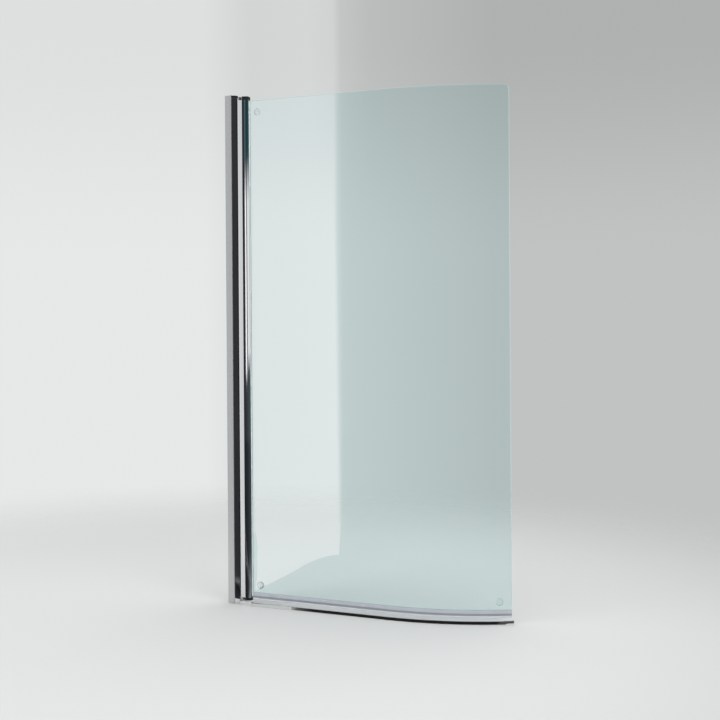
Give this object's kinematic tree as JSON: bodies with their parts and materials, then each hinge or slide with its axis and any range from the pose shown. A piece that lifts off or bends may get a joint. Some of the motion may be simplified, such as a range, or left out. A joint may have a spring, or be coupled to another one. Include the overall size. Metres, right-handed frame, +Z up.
{
  "type": "bath screen",
  "caption": "Curved clear glass bath screen on a vertical hinge, with a bright wall post, a seal under the glass and a strip on the bath rim.",
  "frame": {"origin": "on the wall, at the height of the bath rim, in the plane of the hinge and of the flat part of the glass", "axes": "+X away from the wall along the screen, +Y into the bath, +Z up"},
  "size_m": [0.8153, 0.1094, 1.4435],
  "materials": {
    "bright_aluminium": "polished",
    "chromed_casting": "polished",
    "stainless_steel": "polished",
    "chromed_plastic": "gloss",
    "black_plastic": "satin",
    "grey_plastic": "satin",
    "white_nylon": "satin",
    "black_rubber": "matte",
    "foam_tape": "matte",
    "clear_glass": "polished",
    "clear_vinyl": "gloss"
  },
  "bodies": {
    "wall_post": {"wall_channel": "bright_aluminium", "adjusting_post": "bright_aluminium", "hinge_wiper": "black_rubber", "top_pivot_block": "chromed_casting", "bottom_pivot_block": "chromed_casting", "top_pivot_pin": "stainless_steel", "bottom_pivot_pin": "stainless_steel", "pivot_block_screws": "stainless_steel", "post_fixing_screws": "stainless_steel", "screw_cover_caps": "chromed_plastic", "channel_top_cap": "chromed_plastic", "post_top_cap": "black_plastic", "rim_strip": "bright_aluminium", "rim_strip_tape": "foam_tape", "rim_strip_end_block": "grey_plastic", "rim_strip_end_cap": "chromed_plastic"},
    "screen": {"hinge_profile": "bright_aluminium", "profile_top_cap": "black_plastic", "profile_bottom_cap": "black_plastic", "top_pivot_bush": "white_nylon", "bottom_pivot_bush": "white_nylon", "outer_glazing_strip": "clear_vinyl", "inner_glazing_wedge": "clear_vinyl", "glass_edge_strip": "black_rubber", "glass_panel": "clear_glass", "bottom_seal": "clear_vinyl", "bump_stops": "clear_vinyl"}
  },
  "joints": [
    {"name": "screen_swing", "type": "hinge", "parent": "wall_post", "child": "screen", "pos_m": [0.0415, 0, 0.72], "axis": [0, 0, 1], "range_deg": [-90, 85]}
  ]
}
